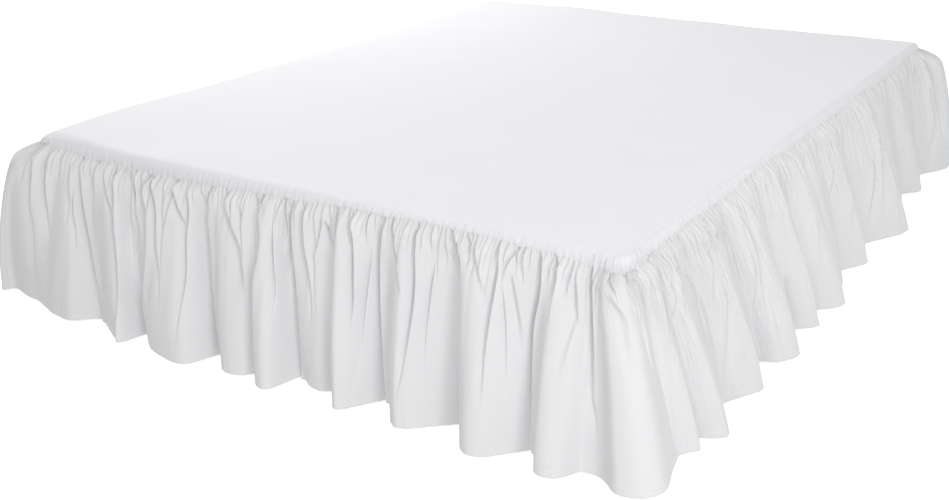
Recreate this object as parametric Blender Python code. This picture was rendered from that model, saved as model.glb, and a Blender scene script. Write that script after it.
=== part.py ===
"""Gathered bed skirt for a queen bed, laid over the plain bed base that it dresses.

The skirt is a flat deck panel that covers the top of the base and rolls over its edges, with one long
gathered ruffle sewn round the foot and both long sides. The ruffle turns the two head corners and ends
a hand's width past them, so the middle of the head stays open against the wall. The base is a plain
upholstered block on six low legs. Units are metres, the floor is z = 0, the foot of the bed faces -Y.
"""

import math
from collections import namedtuple

import bmesh
import bpy
from mathutils import Vector

# Bed and cloth
BED_WIDTH = 1.524  # 60 in, from seam to seam across the deck
BED_LENGTH = 2.032  # 80 in, from the foot seam to the head edge
DECK_HEIGHT = 0.380  # floor to the upper face of the deck panel
CLOTH = 0.0015  # thickness of both cloth pieces
HALF_WIDTH = BED_WIDTH / 2
HALF_LENGTH = BED_LENGTH / 2

# Rounded corners in plan, and the soft roll of the deck over the edge of the base
CORNER_RADIUS = 0.034
EDGE_RADIUS = 0.020  # inner face of the cloth where it rolls over the edge
DECK_ROLL = (0.0, 0.25, 0.5, 0.75, 1.0)  # rows of the deck's roll, as shares of the way to the seam
FLAT_MARGIN = 0.026  # strip of flat deck inside the nominal edge
CORNER_STEPS = 8

# Base block and its legs
LIFT = 0.0003  # the deck lies on the base with this gap
EDGE_CLEARANCE = 0.0035  # and clears its sides by this much
BASE_EDGE_RADIUS = 0.027  # softer than the cloth's own roll, so the cloth clears the edge too
LEG_HEIGHT = 0.040
LEG_RADIUS = 0.032
LEG_SIDES = 20
LEG_INSET = 0.110
BASE_CHAMFER = 0.006
BASE_ROLL_STEPS = 5

# Ruffle
RETURN_LENGTH = 0.170  # how far the ruffle runs on past each head corner
HEM_CLEARANCE = 0.008  # floor to hem
HEM_WAVE = 0.002  # and how much that varies
HEM_WAVES = 11.0  # radians of it a metre
SEAM_STEP = 0.0016  # from the deck's lower edge to the top of the ruffle, along the cloth
SIDE_SWELL = 0.012  # how far the little gathers stand out under the seam
LEFT_SWELL = 0.030  # on the left side, where they are stiff
CORNER_SWELL = 0.060  # and at a corner, where they fan out
SWELL_DEPTH = 0.045  # share of the drop over which they swell out
MEAN_FLARE = 0.118  # how far the hem stands out from the bed on average
CORNER_FLARE = 0.142  # and at a corner
SIDE_BELL = 1.3  # roundness of the skirt's profile along the sides
CORNER_BELL = 1.8  # and at the corners
CORNER_FADE = 0.080  # distance over which a corner's profile runs out into a side's
FOLD_GROWTH = 0.65  # how soon the folds deepen below the seam
ROWS = (0.0, 0.05, 0.15, 0.33, 0.62, 1.0)  # shares of the drop
COLUMNS_PER_SPAN = 3  # columns between two neighbouring fold lines
FREE_END_OUT = 0.120  # how far out the hem stands at the two free ends

# Distances along the seam, counted from the middle of the foot; positive ones turn to the bed's right
FOOT_RUN = HALF_WIDTH - CORNER_RADIUS
CORNER_ARC = math.pi * CORNER_RADIUS / 2
SIDE_START = FOOT_RUN + CORNER_ARC
SIDE_END = SIDE_START + BED_LENGTH - 2 * CORNER_RADIUS
HEAD_START = SIDE_END + CORNER_ARC
HEAD_MIDDLE = HEAD_START + FOOT_RUN
RUFFLE_END = HEAD_START + RETURN_LENGTH

# Each fold has a valley, then a crest between a line where it stops rising and one where it falls.
# seam: where the valley starts along the seam. The others are places along the hem, and how far out
# from the edge of the bed the hem stands there.
Fold = namedtuple("Fold", "seam valley valley_out rise rise_out fall fall_out")

FOOT_FOLDS = (
    Fold(-0.768, -0.790, 0.112, -0.772, 0.148, -0.754, 0.151),
    Fold(-0.724, -0.738, 0.095, -0.640, 0.124, -0.563, 0.137),
    Fold(-0.575, -0.495, 0.101, -0.392, 0.160, -0.366, 0.157),
    Fold(-0.448, -0.345, 0.099, -0.292, 0.145, -0.182, 0.164),
    Fold(-0.218, -0.138, 0.091, -0.088, 0.138, -0.040, 0.142),
    Fold(-0.073, -0.006, 0.120, 0.020, 0.156, 0.056, 0.160),
    Fold(0.013, 0.080, 0.088, 0.121, 0.106, 0.154, 0.112),
    Fold(0.125, 0.186, 0.101, 0.214, 0.150, 0.237, 0.145),
    Fold(0.250, 0.292, 0.077, 0.347, 0.138, 0.380, 0.142),
    Fold(0.408, 0.466, 0.081, 0.512, 0.150, 0.560, 0.156),
    Fold(0.596, 0.631, 0.096, 0.664, 0.153, 0.692, 0.161),
    Fold(0.716, 0.737, 0.121, 0.743, 0.160, 0.760, 0.174),
)
RIGHT_FOLDS = (
    Fold(0.768, 0.777, 0.104, 0.810, 0.124, 0.823, 0.121),
    Fold(0.825, 0.849, 0.105, 0.876, 0.142, 0.903, 0.147),
    Fold(0.950, 0.995, 0.098, 1.089, 0.139, 1.118, 0.135),
    Fold(1.140, 1.197, 0.091, 1.227, 0.134, 1.290, 0.153),
    Fold(1.329, 1.364, 0.094, 1.430, 0.139, 1.453, 0.141),
    Fold(1.469, 1.499, 0.094, 1.573, 0.153, 1.618, 0.149),
    Fold(1.609, 1.657, 0.101, 1.684, 0.119, 1.711, 0.118),
    Fold(1.719, 1.777, 0.095, 1.841, 0.130, 1.873, 0.131),
    Fold(1.929, 1.964, 0.083, 2.117, 0.153, 2.178, 0.151),
    Fold(2.179, 2.244, 0.088, 2.281, 0.106, 2.313, 0.105),
    Fold(2.359, 2.424, 0.073, 2.473, 0.107, 2.508, 0.109),
    Fold(2.589, 2.630, 0.068, 2.735, 0.117, 2.766, 0.134),
    Fold(2.776, 2.788, 0.104, 2.828, 0.140, 2.875, 0.156),
    Fold(2.905, 2.918, 0.108, 2.938, 0.128, 2.952, 0.132),
)

# The left side follows a plain rule: this many folds, their places uneven by this share of their width
LEFT_FOLDS = 16
LEFT_UNEVEN = 0.20
LEFT_LEAN = 0.012  # from the valley's place on the hem to its place on the seam, at most
LEFT_RISE = 0.36  # where a fold stops rising, and where it falls, as shares of its width
LEFT_FALL = 0.64
LEFT_FALL_UNEVEN = 0.08
LEFT_VALLEY_OUT = 0.086  # how far out the hem stands in a valley and on a crest
LEFT_CREST_OUT = 0.141
LEFT_OUT_UNEVEN = 0.010
LEFT_CREST_SLOPE = 0.006
CORNER_VALLEY_OUT = 0.020  # and how much further at the corner
CORNER_CREST_OUT = 0.010
LAST_FOLD = 0.030  # from the free end of the ruffle to its first fold

# Where the seam sits on the rolled edge: place along the seam, and depth below the deck's upper face
SEAM_DROPS = (
    (-1.60, 0.018),
    (-0.90, 0.012),
    (-0.72, 0.011),
    (-0.53, 0.025),
    (-0.42, 0.029),
    (-0.20, 0.024),
    (0.00, 0.020),
    (0.16, 0.012),
    (0.44, 0.010),
    (0.60, 0.016),
    (0.75, 0.041),
    (0.88, 0.020),
    (1.02, 0.016),
    (1.18, 0.021),
    (1.40, 0.009),
    (1.60, 0.019),
    (1.94, 0.022),
    (2.13, 0.015),
    (2.40, 0.030),
    (2.60, 0.018),
)

# Columns of the deck's rolled edge along half of the foot and along one side
FOOT_COLUMNS = 9
SIDE_COLUMNS = 24

SHARP_EDGE = math.radians(50)


def smooth(x):
    """0 below 0, 1 above 1, and an even S between."""
    x = min(max(x, 0.0), 1.0)
    return x * x * (3 - 2 * x)


def plan(s, offset):
    """Plan point at distance s along the seam, pushed outward by offset."""
    d = abs(s)
    if d <= FOOT_RUN:
        x, y, turn = d, -HALF_LENGTH, 0.0
    elif d <= SIDE_START:
        turn = (d - FOOT_RUN) / CORNER_RADIUS
        x = FOOT_RUN + CORNER_RADIUS * math.sin(turn)
        y = CORNER_RADIUS - HALF_LENGTH - CORNER_RADIUS * math.cos(turn)
    elif d <= SIDE_END:
        x, y, turn = HALF_WIDTH, CORNER_RADIUS - HALF_LENGTH + d - SIDE_START, math.pi / 2
    elif d <= HEAD_START:
        turn = math.pi / 2 + (d - SIDE_END) / CORNER_RADIUS
        x = FOOT_RUN + CORNER_RADIUS * math.sin(turn)
        y = HALF_LENGTH - CORNER_RADIUS - CORNER_RADIUS * math.cos(turn)
    else:
        x, y, turn = FOOT_RUN - (d - HEAD_START), HALF_LENGTH, math.pi
    x += offset * math.sin(turn)
    y -= offset * math.cos(turn)
    return math.copysign(1.0, s) * x, y


def cornering(s):
    """1 on a rounded corner, fading to 0 along the straight sides."""
    d = abs(s)
    foot = max(FOOT_RUN - d, d - SIDE_START, 0.0)
    head = max(SIDE_END - d, d - HEAD_START, 0.0)
    return 1.0 - smooth(min(foot, head) / CORNER_FADE)


def seam_drop(s):
    """Depth of the seam below the deck's upper face."""
    if s <= SEAM_DROPS[0][0]:
        return SEAM_DROPS[0][1]
    for (s0, drop0), (s1, drop1) in zip(SEAM_DROPS, SEAM_DROPS[1:]):
        if s <= s1:
            return drop0 + (drop1 - drop0) * smooth((s - s0) / (s1 - s0))
    return SEAM_DROPS[-1][1]


def rolled_edge(s, share, slip=0.0):
    """Point on the middle of the deck's cloth, share of the way round the roll from flat to seam.

    slip carries it on past that place, along the cloth.
    """
    radius = EDGE_RADIUS + CLOTH / 2
    centre_z = DECK_HEIGHT - CLOTH - EDGE_RADIUS
    seam_z = DECK_HEIGHT - seam_drop(s) - centre_z
    if seam_z > 0:
        whole = radius * math.acos(seam_z / radius)
    else:
        whole = radius * math.pi / 2 - seam_z
    turn = (whole * share + slip) / radius
    straight = max(turn - math.pi / 2, 0.0)
    turn -= straight
    x, y = plan(s, radius * math.sin(turn) - EDGE_RADIUS)
    return Vector((x, y, centre_z + radius * (math.cos(turn) - straight)))


def deck_stations():
    """Places along the whole edge of the deck, from the head's middle round the foot and back."""
    half = [FOOT_RUN * i / FOOT_COLUMNS for i in range(FOOT_COLUMNS)]
    half += [FOOT_RUN + CORNER_ARC * i / CORNER_STEPS for i in range(CORNER_STEPS)]
    half += [SIDE_START + (SIDE_END - SIDE_START) * i / SIDE_COLUMNS for i in range(SIDE_COLUMNS)]
    half += [SIDE_END + CORNER_ARC * i / CORNER_STEPS for i in range(CORNER_STEPS)]
    half += [HEAD_START + FOOT_RUN * i / FOOT_COLUMNS for i in range(FOOT_COLUMNS)]
    left = [-s for s in reversed(half[1:])]
    return [-HEAD_MIDDLE] + left + half


STATIONS = deck_stations()


def seam_line(s):
    """Top of the ruffle at s, on the straight chords between the deck's own columns."""
    for s0, s1 in zip(STATIONS, STATIONS[1:]):
        if s <= s1:
            low = rolled_edge(s0, 1.0, SEAM_STEP)
            high = rolled_edge(s1, 1.0, SEAM_STEP)
            return low.lerp(high, (s - s0) / (s1 - s0))
    return rolled_edge(s, 1.0, SEAM_STEP)


def left_folds():
    """Folds of the left side and its head corner, from the free end to the foot corner."""
    start = -RUFFLE_END + LAST_FOLD
    end = FOOT_FOLDS[0].valley
    pitch = (end - start) / LEFT_FOLDS
    valleys = [start + pitch * (i + LEFT_UNEVEN * math.sin(2.4 * i)) for i in range(LEFT_FOLDS)] + [end]
    folds = []
    for i, (valley, following) in enumerate(zip(valleys, valleys[1:])):
        width = following - valley
        corner = cornering(valley + width / 2)
        hollow = LEFT_VALLEY_OUT + LEFT_OUT_UNEVEN * math.sin(2.9 * i) + CORNER_VALLEY_OUT * corner
        crest = LEFT_CREST_OUT + LEFT_OUT_UNEVEN * math.sin(1.7 * i + 1.0) + CORNER_CREST_OUT * corner
        seam = valley + LEFT_LEAN * math.sin(1.1 * i)
        rise = valley + LEFT_RISE * width
        fall = valley + (LEFT_FALL + LEFT_FALL_UNEVEN * math.sin(3.3 * i)) * width
        folds.append(Fold(seam, valley, hollow, rise, crest - LEFT_CREST_SLOPE, fall, crest))
    return folds


def fold_lines():
    """The lines down the ruffle in order round the bed, each as (seam place, hem place, hem out)."""
    folds = left_folds() + list(FOOT_FOLDS + RIGHT_FOLDS)
    seams = [fold.seam for fold in folds] + [RUFFLE_END]
    valleys = [fold.valley for fold in folds] + [RUFFLE_END]
    lines = [(-RUFFLE_END, -RUFFLE_END, FREE_END_OUT)]
    for i, fold in enumerate(folds):
        width = valleys[i + 1] - fold.valley
        gathered = seams[i + 1] - fold.seam
        lines.append((fold.seam, fold.valley, fold.valley_out))
        lines.append((fold.seam + gathered * (fold.rise - fold.valley) / width, fold.rise, fold.rise_out))
        lines.append((fold.seam + gathered * (fold.fall - fold.valley) / width, fold.fall, fold.fall_out))
    lines.append((RUFFLE_END, RUFFLE_END, FREE_END_OUT))
    return lines


def spline(before, start, end, after, u):
    """A smooth curve from start to end, led in and out by their neighbours."""
    lead_in = (end - before) / 2
    lead_out = (after - start) / 2
    return (
        (2 * u**3 - 3 * u**2 + 1) * start
        + (u**3 - 2 * u**2 + u) * lead_in
        + (3 * u**2 - 2 * u**3) * end
        + (u**3 - u**2) * lead_out
    )


def ruffle_columns():
    """Columns of the ruffle: (seam place, hem place, hem out), rounded between the fold lines."""
    lines = [Vector(line) for line in fold_lines()]
    padded = [lines[0]] + lines + [lines[-1]]
    columns = []
    for before, start, end, after in zip(padded, padded[1:], padded[2:], padded[3:]):
        for i in range(COLUMNS_PER_SPAN):
            columns.append(spline(before, start, end, after, i / COLUMNS_PER_SPAN))
    columns.append(lines[-1])
    return columns


def ruffle_point(column, drop):
    """Point on the ruffle's middle surface, drop being the share of the way from seam to hem."""
    seam, hem, hem_out = column
    top = seam_line(seam)
    if drop == 0.0:
        return top
    s = seam + (hem - seam) * drop
    corner = cornering(s)
    mean = MEAN_FLARE + (CORNER_FLARE - MEAN_FLARE) * corner
    bell = 1 - (1 - drop) ** (SIDE_BELL + (CORNER_BELL - SIDE_BELL) * corner)
    side_swell = LEFT_SWELL if s < -SIDE_START else SIDE_SWELL
    swell = side_swell + (CORNER_SWELL - side_swell) * corner
    out = swell * (1 - math.exp(-drop / SWELL_DEPTH)) + (mean - swell) * bell
    out += (hem_out - mean) * drop**FOLD_GROWTH
    hem_z = HEM_CLEARANCE + HEM_WAVE * math.sin(HEM_WAVES * hem)
    x, y = plan(s, out)
    return Vector((x, y, top.z + (hem_z - top.z) * drop))


def rounded_ring(bm, offset, z):
    """Vertices of a rounded rectangle, the bed's outline moved out by offset."""
    ring = []
    for s in STATIONS:
        d = abs(s)
        if FOOT_RUN <= d <= SIDE_START or SIDE_END <= d <= HEAD_START:
            x, y = plan(s, offset)
            ring.append(bm.verts.new((x, y, z)))
    return ring


def bridge(bm, low, high, closed):
    """Pairs of triangles between two rows of vertices, all cut the same way."""
    count = len(low) if closed else len(low) - 1
    for i in range(count):
        j = (i + 1) % len(low)
        bm.faces.new((low[i], low[j], high[j]))
        bm.faces.new((low[i], high[j], high[i]))


def finish(bm, name, material, thickness=0.0):
    """Turn a bmesh into a named object with its material, thickened if it is a sheet."""
    bmesh.ops.recalc_face_normals(bm, faces=bm.faces)
    mesh = bpy.data.meshes.new(name)
    bm.to_mesh(mesh)
    bm.free()
    mesh.materials.append(material)
    mesh.shade_smooth()
    mesh.set_sharp_from_angle(angle=SHARP_EDGE)
    made = bpy.data.objects.new(name, mesh)
    bpy.context.collection.objects.link(made)
    if thickness:
        solidify = made.modifiers.new("thickness", "SOLIDIFY")
        solidify.thickness = thickness
        solidify.offset = 0.0
    return made


def material(name, colour, roughness):
    """A plain Principled material."""
    made = bpy.data.materials.new(name)
    made.use_nodes = True
    shader = made.node_tree.nodes["Principled BSDF"]
    shader.inputs["Base Color"].default_value = (*colour, 1.0)
    shader.inputs["Roughness"].default_value = roughness
    shader.inputs["Metallic"].default_value = 0.0
    return made


def make_base():
    """Upholstered block with rounded corners, a chamfered bottom and a rolled upper edge."""
    bm = bmesh.new()
    side = -EDGE_CLEARANCE
    top = DECK_HEIGHT - CLOTH - LIFT
    rings = [(side - BASE_CHAMFER, LEG_HEIGHT), (side, LEG_HEIGHT + BASE_CHAMFER)]
    for i in range(BASE_ROLL_STEPS + 1):
        angle = math.pi / 2 * i / BASE_ROLL_STEPS
        inward = BASE_EDGE_RADIUS * (1 - math.cos(angle))
        rings.append((side - inward, top - BASE_EDGE_RADIUS * (1 - math.sin(angle))))
    rows = [rounded_ring(bm, offset, z) for offset, z in rings]
    for low, high in zip(rows, rows[1:]):
        bridge(bm, low, high, closed=True)
    bm.faces.new(reversed(rows[0]))
    bm.faces.new(rows[-1])
    return finish(bm, "bed_base", material("base_ticking", (0.62, 0.60, 0.56), 0.9))


def make_legs():
    """Six low round legs: four near the corners and two midway."""
    plastic = material("leg_plastic", (0.05, 0.05, 0.055), 0.5)
    x = HALF_WIDTH - LEG_INSET
    y = HALF_LENGTH - LEG_INSET
    for row, row_y in (("foot", -y), ("middle", 0.0), ("head", y)):
        for side, side_x in (("left", -x), ("right", x)):
            height = LEG_HEIGHT - LIFT
            bm = bmesh.new()
            bmesh.ops.create_cone(
                bm,
                cap_ends=True,
                segments=LEG_SIDES,
                radius1=LEG_RADIUS,
                radius2=LEG_RADIUS,
                depth=height,
            )
            leg = finish(bm, f"base_leg_{row}_{side}", plastic)
            leg.location = (side_x, row_y, height / 2)


def make_deck():
    """The flat panel, rolled over the edge of the base as far as the seam, and as far all round."""
    bm = bmesh.new()
    flat_z = DECK_HEIGHT - CLOTH / 2
    rows = [[bm.verts.new((*plan(s, -FLAT_MARGIN), flat_z)) for s in STATIONS]]
    for share in DECK_ROLL:
        rows.append([bm.verts.new(rolled_edge(s, share)) for s in STATIONS])
    for high, low in zip(rows, rows[1:]):
        bridge(bm, low, high, closed=True)
    bm.faces.new(rows[0])
    return finish(bm, "deck_panel", material("deck_cloth", (0.90, 0.90, 0.91), 0.85), CLOTH)


def make_ruffle():
    """One gathered strip round the foot and both sides, in its folds, hemmed just off the floor."""
    bm = bmesh.new()
    columns = ruffle_columns()
    rows = [[bm.verts.new(ruffle_point(column, drop)) for column in columns] for drop in ROWS]
    for high, low in zip(rows, rows[1:]):
        bridge(bm, low, high, closed=False)
    return finish(bm, "ruffle", material("ruffle_cloth", (0.88, 0.88, 0.90), 0.85), CLOTH)


for old in list(bpy.data.objects):
    bpy.data.objects.remove(old, do_unlink=True)
make_base()
make_legs()
make_deck()
make_ruffle()
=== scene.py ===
"""Gathered bed skirt on the plain bed base that it dresses: the looks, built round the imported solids.

Metres, the floor is z = 0, the foot of the bed faces -Y and the head +Y. Each section below is one piece.
"""

import math
from collections import namedtuple

import bmesh
import bpy
import numpy as np
from mathutils import Matrix, Vector


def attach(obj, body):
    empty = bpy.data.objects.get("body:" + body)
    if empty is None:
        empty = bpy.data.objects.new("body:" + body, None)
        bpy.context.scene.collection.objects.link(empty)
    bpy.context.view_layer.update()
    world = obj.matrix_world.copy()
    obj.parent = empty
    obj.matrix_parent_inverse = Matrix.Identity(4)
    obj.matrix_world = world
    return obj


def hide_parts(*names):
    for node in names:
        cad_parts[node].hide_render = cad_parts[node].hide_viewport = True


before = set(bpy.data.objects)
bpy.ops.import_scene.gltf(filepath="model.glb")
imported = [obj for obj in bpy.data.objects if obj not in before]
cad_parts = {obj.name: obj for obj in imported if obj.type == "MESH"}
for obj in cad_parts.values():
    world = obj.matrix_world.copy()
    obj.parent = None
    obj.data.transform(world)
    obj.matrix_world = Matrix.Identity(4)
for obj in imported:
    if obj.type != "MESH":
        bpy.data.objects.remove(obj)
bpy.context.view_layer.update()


# ---- Bed base ----
# An upholstered foundation: a timber box under a woven cotton ticking, stapled on below. It keeps its
# solid, which is a plain block with rounded corners, and gets the cloth's weave and faint unevenness.


def from_hex(colour):
    """Linear colour with alpha from an sRGB hex value."""
    parts = [int(colour[i : i + 2], 16) / 255 for i in (1, 3, 5)]
    return (*[p / 12.92 if p <= 0.04045 else ((p + 0.055) / 1.055) ** 2.4 for p in parts], 1.0)


def new_finish(name, values):
    """A node material and its Principled shader, with values for some of the shader's inputs."""
    made = bpy.data.materials.new(name)
    made.use_nodes = True
    shader = made.node_tree.nodes["Principled BSDF"]
    for key, value in values.items():
        shader.inputs[key].default_value = value
    return made, shader


def add_node(finish, kind, settings=None, **links):
    """Add a shader node with its settings, an input by its name or number, or a property, and its links."""
    node = finish.node_tree.nodes.new("ShaderNode" + kind)
    for key, value in (settings or {}).items():
        if isinstance(key, int) or key in node.inputs:
            node.inputs[key].default_value = value
        else:
            setattr(node, key, value)
    for key, source in links.items():
        key = int(key[1:]) if key[1:].isdigit() else key.replace("_", " ")
        finish.node_tree.links.new(source, node.inputs[key])
    return node


def mottle(finish, shader, place, noise, light, dark):
    """Give a finish a colour that drifts between two."""
    drift = add_node(finish, "TexNoise", noise, Vector=place)
    colours = {"data_type": "RGBA", 6: from_hex(light), 7: from_hex(dark)}
    tone = add_node(finish, "Mix", colours, Factor=drift.outputs["Fac"])
    finish.node_tree.links.new(tone.outputs[2], shader.inputs["Base Color"])


def bump(finish, strength, distance, height, **under):
    """The normal of a surface raised by a height, over another normal if one is given."""
    sizes = {"Strength": strength, "Distance": distance}
    return add_node(finish, "Bump", sizes, Height=height, **under).outputs["Normal"]


TICKING_TWILL = 0.0040  # the real twill lines are 1 mm apart, drawn coarser so that they show
# A diagonal wave texture of scale 1 goes through 10 * sqrt(2) radians a metre
TICKING_SCALE = math.tau / (10 * math.sqrt(2) * TICKING_TWILL)

# Cotton ticking: matt, slightly yellow, its twill lines just visible close up.
ticking, ticking_shader = new_finish("cotton_ticking", {"Roughness": 0.88, "Sheen Weight": 0.15})
ticking_place = add_node(ticking, "TexCoord").outputs["Object"]
twill_lines = {"bands_direction": "DIAGONAL", "Scale": TICKING_SCALE, "Distortion": 0.6, "Detail": 1.0}
ticking_twill = add_node(ticking, "TexWave", twill_lines, Vector=ticking_place)
mottle(ticking, ticking_shader, ticking_place, {"Scale": 9.0, "Detail": 3.0}, "#D9D4C8", "#CCC6B8")
ticking_lines = bump(ticking, 0.25, 0.0006, ticking_twill.outputs["Fac"])
ticking.node_tree.links.new(ticking_lines, ticking_shader.inputs["Normal"])
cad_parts["bed_base"].data.materials[0] = ticking


# ---- Base legs ----
# Six turned legs of black moulded plastic, screwed into the timber under the base. They keep their
# solids and get the fine grain of a moulded surface.

# Moulded polypropylene: dark, half matt, with a fine pebbled skin.
leg_plastic, leg_shader = new_finish(
    "moulded_polypropylene", {"Base Color": from_hex("#26262A"), "Roughness": 0.46, "IOR": 1.49}
)
leg_place = add_node(leg_plastic, "TexCoord").outputs["Object"]
leg_grain = add_node(leg_plastic, "TexNoise", {"Scale": 900.0, "Detail": 2.0}, Vector=leg_place)
leg_pebbles = bump(leg_plastic, 0.3, 0.0002, leg_grain.outputs["Fac"])
leg_plastic.node_tree.links.new(leg_pebbles, leg_shader.inputs["Normal"])
for name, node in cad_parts.items():
    if name.startswith("base_leg"):
        node.data.materials[0] = leg_plastic


# ---- Deck panel ----
# The flat top of the skirt, one sheet of pale brushed microfibre that lies on the base and rolls over
# its edges. Its edge is sewn to the ruffle, which pulls short puckers into it beside the seam.

BED_WIDTH = 1.524
BED_LENGTH = 2.032
DECK_HEIGHT = 0.380
CLOTH = 0.0015  # thickness of both cloths
CORNER_RADIUS = 0.022  # of the deck's outline
EDGE_RADIUS = 0.020  # of its roll over the edge, at most

# Half sizes of the deck's core, which is flat and square at its corners
CORE_X = BED_WIDTH / 2 - CORNER_RADIUS
CORE_Y = BED_LENGTH / 2 - CORNER_RADIUS

# Places along the seam, in metres from the middle of the foot, to the left negative
FOOT_RUN = CORE_X
CORNER_ARC = math.pi * CORNER_RADIUS / 2
SIDE_START = FOOT_RUN + CORNER_ARC
SIDE_END = SIDE_START + BED_LENGTH - 2 * CORNER_RADIUS
HEAD_START = SIDE_END + CORNER_ARC
NEAR_CORNER = FOOT_RUN + CORNER_ARC / 2  # the foot's right corner
RUFFLE_END = HEAD_START + 0.170  # where the ruffle ends, a short way along the head

# Depth of the seam below the deck's upper face, by place along the seam from the middle of the foot
SEAM_DROPS = np.array(
    [
        (-1.60, 0.018), (-0.90, 0.012), (-0.72, 0.011), (-0.53, 0.025), (-0.42, 0.029),
        (-0.20, 0.024), (0.00, 0.020), (0.16, 0.012), (0.44, 0.010), (0.60, 0.016),
        (0.75, 0.027), (0.88, 0.020), (1.02, 0.016), (1.18, 0.021), (1.40, 0.009),
        (1.60, 0.019), (1.94, 0.022), (2.13, 0.015), (2.40, 0.030), (2.60, 0.018),
    ]
)
SEAM_WAVE = 0.0009  # by which the gathers lift and lower it
SEAM_WAVE_LENGTH = 0.022
SEAM_OUT = 0.0020  # the seam stands this far outside the edge of the bed
CORNER_OUT = 0.0060  # and this far at the near corner
CORNER_TIGHT = 0.45  # by this share the deck's edge rolls over more tightly there
CORNER_REACH = 0.12  # along the seam, within which it does so

# The roll starts further in where the seam lies deeper: metres for each metre of its depth, less an
# allowance, and the least it can be
ROLL_PER_DEPTH = 1.1
ROLL_ALLOWANCE = 0.002
ROLL_LEAST = 0.007

# Little gathers all along the seam, which pucker both cloths: a run of the seam, their mean spacing, their
# depth and length on the ruffle as a share of its drop, the share of long ones, and their length and lean
# on the deck
Gathers = namedtuple("Gathers", "start end spacing depth length long_share deck_length deck_lean")
GATHERS = (
    Gathers(-RUFFLE_END, -0.80, 0.0140, 0.0054, 0.16, 0.16, 0.040, 0.15),
    Gathers(-0.80, -0.30, 0.0115, 0.0086, 0.18, 0.18, 0.020, 0.05),
    Gathers(-0.30, 0.74, 0.0115, 0.0070, 0.15, 0.16, 0.034, 0.15),
    Gathers(0.74, 1.30, 0.0110, 0.0066, 0.22, 0.26, 0.040, 0.45),
    Gathers(1.30, 2.72, 0.0115, 0.0070, 0.26, 0.32, 0.045, 0.50),
    Gathers(2.72, RUFFLE_END, 0.0140, 0.0052, 0.17, 0.16, 0.050, 0.30),
)
SEAM_SHARE = 0.26  # of a gather's depth is left where the two cloths meet
TIP_SHARE = 0.85  # and this much at the near corner
TIP_REACH = 0.07  # along the seam, within which it rises to that


def smooth(x):
    """0 below 0, 1 above 1, and an even S between."""
    x = np.clip(x, 0.0, 1.0)
    return x * x * (3 - 2 * x)


def soft_noise(along, across, seed, spacing, stretch, terms=14):
    """Gentle unevenness from -1 to 1, its features about spacing wide and stretch times as long."""
    draw = np.random.default_rng(seed)
    total = np.zeros(np.broadcast(along, across).shape)
    for _ in range(terms):
        pace = 2 * math.pi / (spacing * draw.uniform(0.7, 1.8))
        tilt = draw.uniform(-1, 1) / stretch
        total += np.sin(pace * (along + tilt * across) + draw.uniform(0, 6.28))
    return total / math.sqrt(terms)


def edge_turn(d):
    """How far the bed's edge has turned at distances d along it from the middle of the foot."""
    first = np.clip((d - FOOT_RUN) / CORNER_RADIUS, 0, math.pi / 2)
    return first + np.clip((d - SIDE_END) / CORNER_RADIUS, 0, math.pi / 2)


def plan(s, offset):
    """Plan points at distances s along the seam, moved outward by offset."""
    d = np.abs(s)
    turn = edge_turn(d)
    x = np.minimum(d, FOOT_RUN) - np.maximum(d - HEAD_START, 0)
    y = np.clip(d - SIDE_START, 0, SIDE_END - SIDE_START) - CORE_Y
    reach = CORNER_RADIUS + offset
    return np.sign(s) * (x + reach * np.sin(turn)), y - reach * np.cos(turn)


def seam_drop(s):
    """Depth of the seam below the deck's upper face, with the little waves the gathers give it."""
    places, drops = SEAM_DROPS.T
    row = np.clip(np.searchsorted(places, s) - 1, 0, len(places) - 2)
    share = (s - places[row]) / (places[row + 1] - places[row])
    wave = SEAM_WAVE * soft_noise(s, 0 * s, 3, SEAM_WAVE_LENGTH, 1.0)
    return drops[row] + (drops[row + 1] - drops[row]) * smooth(share) + wave


def roll_section(s, share, slip=0.0, lift=0.0):
    """Section of the deck's cloth at its edge, share of the way from the flat to the seam.

    It is given as (out from the edge of the bed, z). slip carries it on along the cloth, and lift
    raises it off it.
    """
    near = 1 - smooth(np.abs(s - NEAR_CORNER) / CORNER_REACH)
    fall = seam_drop(s) - CLOTH / 2
    inset = np.clip(ROLL_PER_DEPTH * fall - ROLL_ALLOWANCE, ROLL_LEAST, EDGE_RADIUS)
    flat = EDGE_RADIUS - inset * (1 - CORNER_TIGHT * near)
    run = EDGE_RADIUS - flat + CLOTH / 2 + SEAM_OUT + (CORNER_OUT - SEAM_OUT) * near
    radius = np.where(fall < run, (run**2 + fall**2) / (2 * fall), run)
    arc = np.where(fall < run, 2 * radius * np.arctan2(fall, run), radius * math.pi / 2)
    whole = flat + arc + np.maximum(fall - run, 0)
    along = whole * share + slip
    turn = np.clip((along - flat) / radius, 0, math.pi / 2)
    straight = np.maximum(along - flat - radius * math.pi / 2, 0)
    out = np.minimum(along, flat) - EDGE_RADIUS + (radius + lift) * np.sin(turn)
    return out, DECK_HEIGHT - CLOTH / 2 - radius + (radius + lift) * np.cos(turn) - straight


def seam_share(place):
    """The share of a gather's depth that is left where the two cloths meet."""
    at_tip = 1 - float(smooth(abs(place - NEAR_CORNER) / TIP_REACH))
    return SEAM_SHARE + (TIP_SHARE - SEAM_SHARE) * at_tip


# A crease's section: its wall's and its slope's share of its width, the wall's limit, the ridge's share of
# its depth, and the rounding of its bottom
WALL_SHARE = 1.1
SLOPE_SHARE = 1.6
WALL = 0.0070
RIDGE = 0.24
BOTTOM = 0.25


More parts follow.
